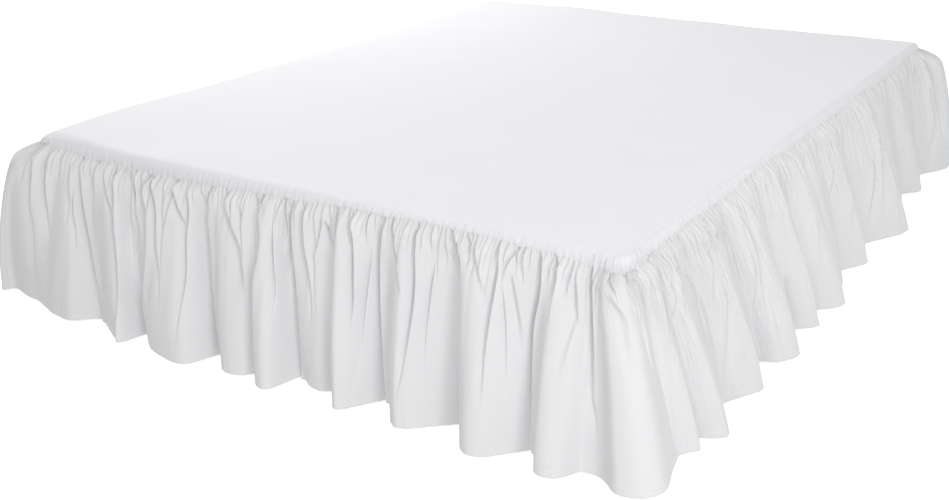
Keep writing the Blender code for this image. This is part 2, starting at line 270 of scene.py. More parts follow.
def crease(distance, width, widest=WALL):
    """A crease's section, 1 at its bottom.

    On one side it has a steep wall, at most widest wide, with a low ridge, and on the other a long slope.
    """
    wall = np.minimum(WALL_SHARE * width, widest)
    slope = np.exp(BOTTOM - np.sqrt((distance / (SLOPE_SHARE * width)) ** 2 + BOTTOM**2))
    ridge = np.exp(-(((distance + 1.5 * wall) / (1.6 * wall)) ** 2))
    return np.where(distance < 0, 1 - smooth(-distance / wall), slope) - RIDGE * ridge


FLAT_STRIP = CORNER_RADIUS - EDGE_RADIUS  # flat cloth between the core and the start of the roll
RIM = FLAT_STRIP + 0.034  # and with the cloth of the roll
PANEL_X, PANEL_Y = CORE_X + RIM, CORE_Y + RIM  # half sizes of the whole panel, laid flat
DECK_GRID = 0.032  # of the panel's widest cells
DECK_WAVE = 0.0008  # of its slack
BROAD_SLACK, BROAD_STRETCH = 0.30, 1.5
FINE_SLACK, FINE_STRETCH, FINE_SHARE = 0.11, 1.2, 0.35
DECK_REST = 0.0014  # the cloth's mean rise off the base, so that its hollows just touch it
DECK_CROWN = 0.0020  # its rise in the middle
RISE_MARGIN = 0.045  # the soft rises die out this far from the seam

# Soft rises where the cloth is slack and stands off the base: middle, spread each way and height
RISES = (
    (-0.700, -0.780, 0.170, 0.300, 0.0170),
    (-0.720, -0.200, 0.150, 0.350, 0.0080),
    (-0.450, 0.960, 0.350, 0.220, 0.0110),
)

# Strips beside the outline where the panel's cells are cut in half: width, edges, and across which way
STRIPS = (
    (0.210, "foot head left right", "both"),
    (0.120, "foot head left right", "both"),
    (0.085, "right", "along"),
    (0.052, "foot head left right", "in"),
    (0.050, "foot left", "along"),
    (0.044, "foot right", "along"),
)

TIP_GATHER = 0.034  # length of the gathers on the deck right at its corners, and its growth from there
TIP_GROWTH = 0.5
TIP_STRAIGHT = 0.06  # nearer the corner than this they lean less
GATHER_SPREAD = 1.2  # by this share they widen to their inner ends
GATHER_SPAN = 0.14  # further than this to either side a gather isn't felt

# What a gather's sizes are drawn from: shares of its run's own, but a long one's length as a share of the
# drop, its lower end's wander as a share of its length, and its width in metres
PITCHES = (0.55, 1.55)
LONG_LENGTHS, LONG_DEPTHS = (0.30, 0.75), (0.7, 1.1)
SHORT_LENGTHS, SHORT_DEPTHS = (0.35, 1.6), (0.5, 1.2)
WANDERS = (-0.022, 0.022)
GATHER_WIDTHS = (0.0018, 0.0032)
DECK_LENGTHS, DECK_LEANS = (0.25, 1.5), (-0.25, 0.25)

Gather = namedtuple("Gather", "place width depth length wander deck_length deck_lean")


def draw_gathers():
    """Every little gather along the seam, in order."""
    draw = np.random.default_rng(5)
    made = []
    for row in GATHERS:
        place = row.start + row.spacing
        while place < row.end - 0.4 * row.spacing:
            if draw.uniform() < row.long_share:
                length = draw.uniform(*LONG_LENGTHS)
                depth = row.depth * draw.uniform(*LONG_DEPTHS)
            else:
                length = row.length * draw.uniform(*SHORT_LENGTHS)
                depth = row.depth * draw.uniform(*SHORT_DEPTHS)
            wander = length * draw.uniform(*WANDERS)
            width = draw.uniform(*GATHER_WIDTHS)
            deck_length = row.deck_length * draw.uniform(*DECK_LENGTHS)
            deck_lean = row.deck_lean + draw.uniform(*DECK_LEANS)
            made.append(Gather(place, width, depth, length, wander, deck_length, deck_lean))
            place += row.spacing * draw.uniform(*PITCHES)
    return made


SEAM_GATHERS = draw_gathers()


def along_edge(x, y, turn):
    """Places along the bed's edge of points beside it, turn being how far round a corner each is."""
    over_x, over_y = np.abs(x) - CORE_X, np.abs(y) - CORE_Y
    foot = np.where(over_x <= 0, np.abs(x), FOOT_RUN + CORNER_RADIUS * turn)
    head = HEAD_START - np.where(over_x <= 0, over_x, CORNER_RADIUS * turn)
    beside_end = np.where(y < 0, foot, head)
    s = np.where((over_y <= 0) & (over_x > over_y), SIDE_START + y + CORE_Y, beside_end)
    return np.where(x < 0, -s, s)


def seam_places(x, y):
    """The place along the seam that each flat place of the panel faces, and its distance from it."""
    over_x, over_y = np.abs(x) - CORE_X, np.abs(y) - CORE_Y
    with np.errstate(divide="ignore", invalid="ignore"):
        ratio = np.where(over_x <= over_y, over_x / over_y, over_y / over_x)
    turn = np.where(over_x <= over_y, math.pi / 4 * ratio, math.pi / 2 - math.pi / 4 * ratio)
    return along_edge(x, y, turn), RIM - np.maximum(over_x, over_y)


def deck_relief(x, y, s, inward):
    """How far the deck's cloth stands off its plain form, at flat places x, y."""
    lift = DECK_REST + DECK_WAVE * soft_noise(x, y, 11, BROAD_SLACK, BROAD_STRETCH)
    lift += FINE_SHARE * DECK_WAVE * soft_noise(y, x, 12, FINE_SLACK, FINE_STRETCH)
    inside = smooth((PANEL_X - np.abs(x)) / RISE_MARGIN) * smooth((PANEL_Y - np.abs(y)) / RISE_MARGIN)
    for middle_x, middle_y, spread_x, spread_y, height in RISES:
        rise = np.exp(-(((x - middle_x) / spread_x) ** 2) - ((y - middle_y) / spread_y) ** 2)
        lift += height * rise * inside
    for row in SEAM_GATHERS:
        if abs(row.place) > SIDE_END:
            continue
        from_corner = abs(abs(row.place) - NEAR_CORNER)
        length = min(row.deck_length, TIP_GROWTH * from_corner + TIP_GATHER)
        near = (np.abs(s - row.place) < GATHER_SPAN) & (inward < length)
        run = inward[near]
        if abs(row.place) < NEAR_CORNER:  # on the foot, from left to right
            away, hand = s[near] - row.place, -1
        else:  # on a side, from foot to head
            away, hand = np.abs(s[near]) - abs(row.place), 1
        spread = row.width * (1 + GATHER_SPREAD * run / length)
        lean = row.deck_lean * min(1.0, from_corner / TIP_STRAIGHT)
        dip = crease(hand * (away - lean * run), spread)
        lift[near] -= seam_share(row.place) * row.depth * dip * (1 - smooth(run / length))
    return lift


def lay_deck(x, y):
    """Where flat places x, y of the panel lie on the bed, as three arrays."""
    s, inward = seam_places(x, y)
    rim = RIM - inward
    lift = deck_relief(x, y, s, inward)
    flat_x, flat_y = plan(s, np.minimum(rim, FLAT_STRIP) - CORNER_RADIUS)
    share = np.clip((rim - FLAT_STRIP) / (RIM - FLAT_STRIP), 0, 1)
    roll_out, roll_z = roll_section(s, share, lift=lift - DECK_REST * share)
    roll_x, roll_y = plan(s, roll_out)
    core = rim <= 0
    flat = rim <= FLAT_STRIP
    crown = DECK_CROWN * (1 - (x / CORE_X) ** 2) * (1 - (y / CORE_Y) ** 2)
    flat_z = DECK_HEIGHT - CLOTH / 2 + np.maximum(lift + np.where(core, crown, 0), 0)
    laid_x = np.where(core, x, np.where(flat, flat_x, roll_x))
    laid_y = np.where(core, y, np.where(flat, flat_y, roll_y))
    return laid_x, laid_y, np.where(flat, flat_z, roll_z)


def cells_within(bm, strip, edges, way):
    """Edges of the faces that lie within strip of the named edges of the panel."""
    picked = set()
    for face in bm.faces:
        middle = face.calc_center_median()
        beside_x = ("right" if middle.x > 0 else "left") in edges and abs(middle.x) > PANEL_X - strip
        beside_y = ("head" if middle.y > 0 else "foot") in edges and abs(middle.y) > PANEL_Y - strip
        for edge in face.edges:
            run = edge.verts[1].co - edge.verts[0].co
            runs_x = abs(run.x) > abs(run.y)
            if (beside_x and (way == "both" or (way == "in") == runs_x)) or (
                beside_y and (way == "both" or (way == "along") == runs_x)
            ):
                picked.add(edge)
    return list(picked)


def mesh_points(mesh):
    """A mesh's points, one in each row."""
    points = np.empty(len(mesh.vertices) * 3)
    mesh.vertices.foreach_get("co", points)
    return points.reshape(-1, 3)


def place_points(mesh, points):
    """Move a mesh's points, given as three arrays."""
    mesh.vertices.foreach_set("co", np.stack(points, axis=1).astype(np.float32).ravel())
    mesh.update()


def cloth_uv(mesh, u, v, name="cloth"):
    """Give a mesh a UV map in metres along the cloth, from each point's place on it."""
    corners = np.empty(len(mesh.loops), np.int32)
    mesh.loops.foreach_get("vertex_index", corners)
    layer = mesh.uv_layers.new(name=name)
    layer.data.foreach_set("uv", np.stack((u[corners], v[corners]), axis=1).astype(np.float32).ravel())


def fine_puckers(mesh, along, inward, depth):
    """Give a mesh its fine puckers: their depth, at places in metres along and away from the seam."""
    cloth_uv(mesh, along, inward, "gathered")
    mesh.attributes.new("pucker", "FLOAT", "POINT").data.foreach_set("value", depth.astype(np.float32))


def sheet_mesh(name, bm):
    """A mesh of a flat sheet, smooth but for its cut edges."""
    for face in bm.faces:
        face.smooth = True
    for edge in bm.edges:
        edge.smooth = not edge.is_boundary
    mesh = bpy.data.meshes.new(name)
    bm.to_mesh(mesh)
    bm.free()
    return mesh


def add_object(name, data):
    """An object in the scene for a mesh, a light or a camera."""
    made = bpy.data.objects.new(name, data)
    bpy.context.scene.collection.objects.link(made)
    return made


def cloth_piece(name, mesh, finish, offset=-1.0):
    """An object for a sheet of cloth, thickened."""
    mesh.materials.append(finish)
    made = add_object(name, mesh)
    solidify = made.modifiers.new("thickness", "SOLIDIFY")
    solidify.thickness = CLOTH
    solidify.offset = offset
    return made


PLEAT = 0.0075  # of gathered cloth in each fine pucker, too small to model
PLEAT_RUN = 0.090  # length of one
THREAD_PITCH = 0.0032  # the real threads are 0.25 mm apart, drawn coarser so that they show close up
WAVE_REPEAT = 0.314  # between the lines of a wave texture of scale 1


def microfibre(name, light, dark):
    """Brushed polyester microfibre between two near whites.

    Its short nap makes it matt and even, with a faint bloom where it turns away, and its fine plain weave
    shows only close up. Beside a seam it is drawn into fine puckers.
    """
    values = {"Roughness": 0.82, "Specular IOR Level": 0.30, "Sheen Weight": 0.25, "Sheen Roughness": 0.45}
    finish, shader = new_finish(name, values)
    cloth = add_node(finish, "UVMap", {"uv_map": "cloth"}).outputs["UV"]
    gathered = add_node(finish, "UVMap", {"uv_map": "gathered"}).outputs["UV"]
    pucker = add_node(finish, "Attribute", {"attribute_name": "pucker"}).outputs["Fac"]
    times = {"operation": "MULTIPLY"}
    drawn_up = {**times, 1: (1 / PLEAT, 1 / PLEAT_RUN, 0.0)}
    pleats = add_node(finish, "VectorMath", drawn_up, _0=gathered).outputs[0]
    folded = add_node(finish, "TexNoise", {"Scale": 1.0, "Detail": 2.0}, Vector=pleats)
    puckers = add_node(finish, "Math", times, _0=folded.outputs["Fac"], _1=pucker)
    puckered = bump(finish, 1.0, 1.0, puckers.outputs[0])
    waves = []
    for direction in ("X", "Y"):
        threads = {"bands_direction": direction, "Scale": WAVE_REPEAT / THREAD_PITCH, "Distortion": 0.4}
        waves.append(add_node(finish, "TexWave", threads, Vector=cloth).outputs["Fac"])
    weave = add_node(finish, "Math", times, _0=waves[0], _1=waves[1]).outputs[0]
    nap = add_node(finish, "TexNoise", {"Scale": 700.0, "Detail": 3.0}, Vector=cloth)
    half_nap = {"operation": "MULTIPLY_ADD", 1: 0.5}
    skin = add_node(finish, "Math", half_nap, _0=nap.outputs["Fac"], _2=weave).outputs[0]
    mottle(finish, shader, cloth, {"Scale": 7.0, "Detail": 4.0}, light, dark)
    finish.node_tree.links.new(bump(finish, 0.05, 0.00035, skin, Normal=puckered), shader.inputs["Normal"])
    return finish


# Fine puckers of the deck beside its seam: their depth, how far in they run from the foot and the sides,
# their lean there, how much closer they lie than the ruffle's, and how soon past the corner they lean
DECK_PUCKER = 0.0005
DECK_PUCKER_RUN = 0.030
SIDE_PUCKER_RUN = 0.045
DECK_PUCKER_LEAN = 1.1
DECK_PUCKER_CLOSER = 1.5
LEAN_REACH = 0.05
# At the near corner's tip: how much deeper they are, how far in they keep that, how much sooner they end
# and how far the tip reaches
TIP_PUCKER = 10.0
TIP_FULL = 0.014
TIP_SOONER = 0.008
TIP_SPREAD = 0.050

# Painted light: the deck's copy of the microfibre is drawn a little lighter and bluer than the ruffle's
# copy of the same cloth. This stands in for the brighter, cooler light on the bed's top and over its rolled
# edge.
deck_cloth_painted_lighter = microfibre("brushed_microfibre_deck_painted_lighter", "#E0E0E3", "#DDDDE0")
bm = bmesh.new()
columns, rows = round(2 * PANEL_X / DECK_GRID), round(2 * PANEL_Y / DECK_GRID)
bmesh.ops.create_grid(bm, x_segments=columns, y_segments=rows, size=0.5)
bmesh.ops.scale(bm, vec=(2 * PANEL_X, 2 * PANEL_Y, 1), verts=bm.verts)
for strip, edges, way in STRIPS:
    bmesh.ops.subdivide_edges(bm, edges=cells_within(bm, strip, edges, way), cuts=1, use_grid_fill=True)
deck_mesh = sheet_mesh("deck_panel_cloth", bm)
flat_x, flat_y, _ = mesh_points(deck_mesh).T
place_points(deck_mesh, lay_deck(flat_x, flat_y))
cloth_uv(deck_mesh, flat_x, flat_y)
seam_s, inward = seam_places(flat_x, flat_y)
past_corner = smooth((np.abs(seam_s) - NEAR_CORNER) / LEAN_REACH)
along = np.where(past_corner > 0, np.abs(seam_s), seam_s) - DECK_PUCKER_LEAN * past_corner * inward
pucker_run = DECK_PUCKER_RUN + (SIDE_PUCKER_RUN - DECK_PUCKER_RUN) * past_corner
from_tip = np.hypot(flat_x - CORE_X, flat_y + CORE_Y)
at_tip = np.exp(-((from_tip / TIP_SPREAD) ** 2))
fade = 1 - smooth((inward - TIP_FULL * at_tip) / (pucker_run - TIP_SOONER * at_tip))
pucker_depth = DECK_PUCKER * (1 + TIP_PUCKER * at_tip) * fade
fine_puckers(deck_mesh, DECK_PUCKER_CLOSER * along, inward, pucker_depth)
deck_panel = cloth_piece("deck_panel_cloth", deck_mesh, deck_cloth_painted_lighter, offset=0.0)
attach(deck_panel, "root")
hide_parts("deck_panel")


# ---- Ruffle ----
# One long strip of the same microfibre, drawn up on a thread to about two thirds of its length and sewn
# under the deck's edge, so that it falls in uneven folds. It is made up of four widths and hemmed below.

DROP = 0.36  # of the flat cloth, from the seam to the hem
HEM_CLEARANCE = 0.008  # above the floor
HEM_WAVE = 0.002  # rise and fall of the hem, and its pace in radians a metre
HEM_WAVES = 11.0

# How far the cloth stands out at once below the seam: on the foot and the right side, on the left side, at
# the far corners and the near one. SWELL_DEPTH is the share of the drop in which it gets there.
SIDE_SWELL = 0.012
LEFT_SWELL = 0.030
CORNER_SWELL = 0.060
NEAR_CORNER_SWELL = 0.022
SWELL_DEPTH = 0.045
SWELL_POWER = 1.4

# How far out it hangs at the hem, folds apart, on the sides and at the corners, and the power of its bell
# there: 1 is a straight slope, and more stands out sooner
MEAN_FLARE = 0.118
CORNER_FLARE = 0.142
SIDE_BELL = 1.3
CORNER_BELL = 1.8
NEAR_CORNER_BELL = 1.1
CORNER_FADE = 0.080  # length of the side over which a corner's way of hanging dies out
NEAR_REACH = 0.2  # along the edge, within which a corner is the near one
FOLD_GROWTH = 0.65  # power of the drop with which the folds deepen
FREE_END_OUT = 0.120  # the ruffle's ends hang this far out at the hem

# Each fold has a valley, then a crest between a line where it stops rising and one where it falls. seam
# is where the valley starts along the seam. The others are places along the hem, and how far out from the
# edge of the bed it stands there. The tables are in millimetres.
Fold = namedtuple("Fold", "seam valley valley_out rise rise_out fall fall_out")

FOOT_FOLDS = (
    (-773, -795, 106, -770, 137, -757, 140),
    (-724, -745, 92, -640, 124, -563, 137),
    (-575, -495, 101, -392, 160, -366, 157),
    (-448, -345, 99, -292, 145, -182, 164),
    (-218, -138, 91, -88, 138, -40, 142),
    (-73, -6, 120, 20, 156, 56, 160),
    (13, 80, 88, 121, 106, 154, 112),
    (125, 186, 101, 214, 150, 237, 145),
    (250, 292, 77, 347, 138, 380, 142),
    (408, 466, 81, 512, 150, 560, 156),
    (596, 631, 96, 672, 157, 714, 149),
    (716, 743, 109, 751, 166, 759, 173),
)
RIGHT_FOLDS = (
    (773, 774, 103, 815, 124, 828, 121),
    (830, 854, 105, 881, 142, 908, 147),
    (955, 1000, 98, 1094, 139, 1123, 135),
    (1145, 1202, 91, 1232, 134, 1295, 153),
    (1334, 1369, 94, 1435, 139, 1458, 141),
    (1474, 1504, 94, 1578, 153, 1623, 149),
    (1614, 1662, 101, 1689, 119, 1716, 118),
    (1724, 1782, 95, 1846, 130, 1878, 131),
    (1934, 1969, 83, 2122, 153, 2183, 151),
    (2184, 2249, 88, 2286, 106, 2318, 105),
    (2364, 2429, 73, 2478, 107, 2513, 109),
    (2594, 2635, 68, 2740, 117, 2775, 129),
    (2785, 2791, 100, 2838, 134, 2885, 148),
    (2915, 2928, 108, 2948, 128, 2962, 132),
)
TABLE_FOLDS = [Fold(*(value / 1000 for value in row)) for row in FOOT_FOLDS + RIGHT_FOLDS]

# The left side's folds, by rule: places within a fold as shares of its width, and metres out at the hem
LEFT_FOLDS = 16
LEFT_UNEVEN = 0.20
LEFT_LEAN = 0.012  # metres along the edge from a valley's top to its foot
LEFT_RISE = 0.36
LEFT_FALL = 0.64
LEFT_FALL_UNEVEN = 0.08
LEFT_VALLEY_OUT = 0.086
LEFT_CREST_OUT = 0.141
LEFT_OUT_UNEVEN = 0.010
LEFT_CREST_SLOPE = 0.006  # a crest starts this much further in than it ends
CORNER_VALLEY_OUT = 0.014  # both stand further out at the corner
CORNER_CREST_OUT = 0.001
LAST_FOLD = 0.030  # from the free end to the first valley


def cornering(s):
    """1 on a rounded corner, fading to 0 along the straight sides."""
    d = np.abs(s)
    foot = np.maximum(np.maximum(FOOT_RUN - d, d - SIDE_START), 0.0)
    head = np.maximum(np.maximum(SIDE_END - d, d - HEAD_START), 0.0)
    return 1.0 - smooth(np.minimum(foot, head) / CORNER_FADE)


def left_folds():
    """Folds of the left side and its head corner, from the free end to the foot corner.

    Sines of unlike pace make them uneven.
    """
    start = -RUFFLE_END + LAST_FOLD
    end = TABLE_FOLDS[0].valley
    pitch = (end - start) / LEFT_FOLDS
    valleys = [start + pitch * (i + LEFT_UNEVEN * math.sin(2.4 * i)) for i in range(LEFT_FOLDS)] + [end]
    folds = []
    for i, (valley, following) in enumerate(zip(valleys, valleys[1:])):
        width = following - valley
        corner = float(cornering(valley + width / 2))
        hollow = LEFT_VALLEY_OUT + LEFT_OUT_UNEVEN * math.sin(2.9 * i) + CORNER_VALLEY_OUT * corner
        crest = LEFT_CREST_OUT + LEFT_OUT_UNEVEN * math.sin(1.7 * i + 1.0) + CORNER_CREST_OUT * corner
        seam = valley + LEFT_LEAN * math.sin(1.1 * i)
        rise = valley + LEFT_RISE * width
        fall = valley + (LEFT_FALL + LEFT_FALL_UNEVEN * math.sin(3.3 * i)) * width
        folds.append(Fold(seam, valley, hollow, rise, crest - LEFT_CREST_SLOPE, fall, crest))
    return folds


FOLDS = left_folds() + TABLE_FOLDS


def fold_lines():
    """The lines down the ruffle in order round the bed, each as (seam place, hem place, hem out)."""
    seams = [fold.seam for fold in FOLDS] + [RUFFLE_END]
    valleys = [fold.valley for fold in FOLDS] + [RUFFLE_END]
    lines = [(-RUFFLE_END, -RUFFLE_END, FREE_END_OUT)]
    for i, fold in enumerate(FOLDS):
        width = valleys[i + 1] - fold.valley
        gathered = seams[i + 1] - fold.seam
        lines.append((fold.seam, fold.valley, fold.valley_out))
        for place, out in ((fold.rise, fold.rise_out), (fold.fall, fold.fall_out)):
            lines.append((fold.seam + gathered * (place - fold.valley) / width, place, out))
    lines.append((RUFFLE_END, RUFFLE_END, FREE_END_OUT))
    return np.array(lines)


def spline(u, start, start_slope, end, end_slope):
    """Values at shares u of the way along a smooth curve with these ends and slopes."""
    return (
        (2 * u**3 - 3 * u**2 + 1) * start
        + (u**3 - 2 * u**2 + u) * start_slope
        + (3 * u**2 - 2 * u**3) * end
        + (u**3 - u**2) * end_slope
    )


def close_columns(steps=60):
    """Many columns down the ruffle, as rows of (seam place, hem place, hem out), rounded."""
    lines = fold_lines()
    padded = np.vstack((lines[:1], lines, lines[-1:]))
    before, start, end, after = (padded[i : len(padded) - 3 + i, None, :] for i in range(4))
    u = (np.arange(steps) / steps)[None, :, None]
    curve = spline(u, start, (end - before) / 2, end, (after - start) / 2)
    return np.vstack((curve.reshape(-1, 3), lines[-1:]))


CLOSE = close_columns()

# Creases between and across the main folds, each with its depth and width in millimetres and its path
# down the cloth, as places along the bed's edge in millimetres with the hundredths of the drop there.
CREASES = (
    # Deep ones beside the crests, foot of the bed from left to right
    (22, 9, (-604, 0), (-592, 12), (-571, 33), (-526, 63), (-498, 86), (-497, 100)),
    (27, 9, (-494, 0), (-470, 12), (-453, 26), (-424, 49), (-394, 80), (-385, 100)),
    (26, 9, (-386, 0), (-391, 8), (-360, 25), (-339, 55), (-341, 80), (-349, 100)),
    (19, 10, (-267, 0), (-252, 8), (-231, 33), (-217, 50), (-208, 80), (-203, 95)),
    (27, 9, (-201, 0), (-200, 17), (-182, 34), (-160, 72), (-142, 100)),
    (24, 8, (-60, 0), (-54, 8), (-36, 17), (-30, 52), (-21, 74), (-9, 100)),
    (22, 8, (23, 0), (27, 15), (52, 43), (77, 78), (78, 100)),
    (23, 8, (137, 0), (161, 23), (177, 50), (183, 100)),
    (21, 9, (253, 0), (251, 12), (259, 39), (274, 71), (287, 100)),
    (21, 9, (403, 0), (432, 11), (455, 41), (459, 69), (463, 100)),
    (15, 7, (594, 0), (606, 8), (607, 37), (619, 72), (628, 100)),
    (9, 8, (700, 0), (704, 4), (727, 36), (741, 65), (745, 88)),
    # Softer ones on the broad faces of the foot
    (15, 12, (-738, 2), (-727, 16), (-731, 32), (-722, 48), (-721, 68), (-725, 95)),
    (15, 7, (-698, 2), (-691, 22), (-686, 33), (-677, 45), (-662, 60)),
    (11, 6, (-631, 4), (-618, 18), (-610, 29), (-606, 46)),
    (8, 5, (-604, 18), (-594, 35), (-581, 47), (-569, 63)),
    (12, 7, (-529, 3), (-512, 10), (-484, 22), (-452, 40)),
    (11, 6, (-551, 1), (-540, 15), (-539, 36)),
    (11, 12, (-443, 10), (-413, 44), (-388, 71), (-363, 98)),
    (11, 6, (-432, 0), (-428, 9), (-412, 20), (-388, 31), (-368, 42)),
    (16, 8, (-380, 0), (-341, 15), (-312, 37), (-282, 56), (-273, 74)),
    (11, 6, (-298, 2), (-297, 16), (-294, 38)),
    (11, 7, (-304, 2), (-286, 10), (-254, 22), (-234, 34)),
    (11, 13, (-229, 4), (-204, 37), (-183, 65), (-168, 93)),
    (18, 15, (-159, 1), (-144, 12), (-102, 28), (-74, 49), (-60, 63), (-32, 88)),
    (7, 4, (-133, 1), (-126, 9), (-117, 20)),
    (9, 8, (-111, 6), (-94, 17), (-69, 40)),
    (7, 4, (-78, 0), (-72, 6), (-65, 14)),
    (7, 4, (-60, 0), (-51, 3), (-42, 7)),
    (11, 7, (-10, 10), (9, 31), (25, 50), (35, 78)),
    (6, 4, (-12, 0), (-7, 7), (-2, 15)),
    (9, 6, (2, 0), (12, 13), (22, 37)),
    (9, 12, (20, 16), (34, 48), (61, 97)),
    (15, 7, (56, 0), (73, 22), (96, 40), (119, 68)),
    (8, 5, (105, 3), (107, 18), (94, 36)),
    (9, 6, (110, 7), (134, 18), (163, 30)),
    (8, 6, (166, 0), (182, 13), (199, 23)),
    (15, 7, (173, 0), (195, 13), (212, 36), (225, 74)),
    (6, 5, (215, 0), (217, 7), (222, 18)),
    (7, 7, (231, 11), (236, 49), (244, 80), (246, 98)),
    (12, 8, (270, 0), (287, 12), (313, 26), (336, 39)),
    (14, 10, (331, 0), (339, 11), (353, 29), (359, 63), (356, 93)),
    (6, 4, (365, 0), (369, 6), (375, 14)),
    (7, 8, (381, 12), (384, 33), (387, 53), (400, 80)),
    (8, 12, (402, 8), (425, 21), (441, 36)),
    (6, 4, (438, 0), (454, 7), (456, 17)),
    (9, 12, (458, 0), (476, 12), (498, 22), (522, 34)),
    (13, 10, (512, 0), (523, 13), (528, 31), (533, 51), (546, 78)),
    (8, 6, (555, 0), (539, 10), (536, 20)),
    (5, 6, (536, 15), (559, 39), (582, 76)),
    (11, 13, (543, 8), (561, 23), (576, 36), (596, 60)),
    (6, 4, (564, 0), (569, 8), (577, 19)),
    (11, 7, (626, 0), (636, 4), (642, 20), (643, 34)),
    (8, 6, (662, 0), (667, 4), (660, 18)),
    (8, 12, (677, 6), (689, 22), (684, 43), (680, 62)),
    (5, 6, (676, 3), (690, 18), (710, 36)),
    (6, 4, (735, 0), (741, 3), (749, 8)),
    (7, 16, (738, 5), (750, 17), (752, 29), (754, 50)),
    # The right side, from the foot to the head
    (7, 3, (759, 0), (757, 3), (755, 6)),
    (7, 3, (770, 0), (765, 3), (759, 7)),
    (7, 3, (784, 0), (781, 3), (779, 8)),
    (6, 12, (830, 2), (822, 20), (812, 36), (800, 60)),
    (6, 8, (872, 2), (861, 19), (846, 36), (834, 55)),
    (8, 12, (929, 4), (891, 19), (874, 32), (868, 46)),
    (8, 8, (926, 18), (959, 37), (953, 50)),
    (7, 5, (1080, 0), (1064, 6), (1042, 14)),
    (8, 8, (1036, 14), (1028, 31), (1011, 45)),
    (10, 9, (984, 34), (993, 55), (998, 92)),
    (7, 8, (1086, 10), (1091, 25), (1085, 37)),
    (8, 12, (1059, 38), (1037, 65), (1009, 96)),
    (19, 9, (1200, 2), (1217, 21), (1222, 37), (1217, 59), (1220, 88)),
    (10, 9, (1206, 28), (1200, 59), (1203, 92)),
    (6, 5, (1271, 11), (1269, 20), (1267, 29)),
    (8, 12, (1234, 54), (1237, 73), (1244, 95)),
    (15, 9, (1494, 12), (1490, 33), (1472, 48), (1448, 66)),
    (11, 9, (1382, 64), (1392, 83), (1404, 100)),
    (10, 12, (1562, 41), (1554, 61), (1555, 80)),
    (8, 7, (1634, 12), (1612, 26), (1588, 42)),
    (9, 6, (1790, 18), (1779, 34), (1750, 52)),
    (11, 12, (1930, 2), (1918, 25), (1878, 44), (1836, 62), (1806, 92)),
    (28, 9, (2126, 12), (2099, 35), (2083, 55), (2065, 86)),
    (15, 9, (2071, 37), (2039, 61), (2002, 95)),
    (12, 9, (2144, 46), (2135, 68), (2118, 98)),
    (32, 9, (2708, 0), (2721, 26), (2730, 43), (2739, 80)),
    (14, 9, (2708, 24), (2713, 60), (2684, 92)),
)

SOFT_WIDTH = 12  # creases at least this wide, in millimetres, are soft, with a wide wall and no slit
SOFT_WALL = 0.020
DEEP = 17  # and those at least this deep widen to their lower ends
DEEP_SPREAD = 1.8
TOP_SHARE = 0.6  # of its width, which a crease has at its top
SLIT = 0.9  # at its bottom each sharp crease is this share deeper, of its depth or of SLIT_DEEPEST
SLIT_DEEPEST = 16  # millimetres
SLIT_WIDTH = 0.0019
SLIT_SPREAD = 1.6

# Creases by rule in the valleys that the tables above don't reach: depth, and widths at the top and below
VALLEY_DEPTH = 0.011
VALLEY_DEPTHS = (0.6, 1.3)  # drawn as a share of it
VALLEY_WIDTHS = (0.005, 0.009)
TABLE_START, TABLE_END = -0.80, 0.75
GATHER_WIDENING = 0.009  # a gather's growth in width for each unit of its length


def seeded_wrinkles():
    """Every crease and gather: depth, widths at the top and below, path, share at the seam and wall."""
    made = []
    for depth, width, *points in CREASES:
        path = [(place / 1000, drop / 100) for place, drop in points]
        soft = width >= SOFT_WIDTH
        top_width = TOP_SHARE * width / 1000
        low_width = width / 1000 * (1.0 if depth < DEEP else DEEP_SPREAD)
        made.append((depth / 1000, top_width, low_width, path, 0.0, SOFT_WALL if soft else WALL))
        if not soft:
            slit = SLIT * min(depth, SLIT_DEEPEST) / 1000
            made.append((slit, SLIT_WIDTH, SLIT_SPREAD * SLIT_WIDTH, path, 0.0, WALL))
    draw = np.random.default_rng(6)
    for fold in FOLDS:
        if TABLE_START < fold.valley < TABLE_END:
            continue
        depth = VALLEY_DEPTH * draw.uniform(*VALLEY_DEPTHS)
        path = ((fold.seam, 0.0), (fold.seam * 0.5 + fold.valley * 0.5, 0.5), (fold.valley, 1.0))
        made.append((depth, *VALLEY_WIDTHS, path, 0.0, WALL))
    for row in SEAM_GATHERS:
        target = float(np.interp(row.place, CLOSE[:, 0], CLOSE[:, 1]))
        lean = (target - row.place) * row.length
        half = (row.place + 0.5 * lean + row.wander, 0.5 * row.length)
        path = ((row.place, 0.0), half, (row.place + lean + row.wander, row.length))
        low_width = row.width + GATHER_WIDENING * row.length
        made.append((row.depth, row.width, low_width, path, seam_share(row.place), WALL))
    return made


WRINKLES = seeded_wrinkles()

# A crease deepens over FADE_IN of its length, unless it starts at the seam, and dies out from FADE_OUT on,
# unless it reaches the hem, where it has lost HEM_LOSS. AT_SEAM and AT_HEM are shares of the drop.
FADE_IN = 0.25
FADE_OUT = 0.30
HEM_LOSS = 0.7
AT_SEAM, AT_HEM = 0.03, 0.985
SHALLOW = 0.012  # creases less deep than this open sooner below the seam
SHALLOW_OPENING, DEEP_OPENING = 0.030, 0.055


def curve_at(path, t):
    """Places along the bed's edge of a crease's smooth path, at shares t of the drop."""
    places, drops = np.array(path).T
    slopes = np.gradient(places, drops)
    row = np.clip(np.searchsorted(drops, t) - 1, 0, len(drops) - 2)
    step = drops[row + 1] - drops[row]
    u = np.clip((t - drops[row]) / step, 0, 1)
    return spline(u, places[row], step * slopes[row], places[row + 1], step * slopes[row + 1])


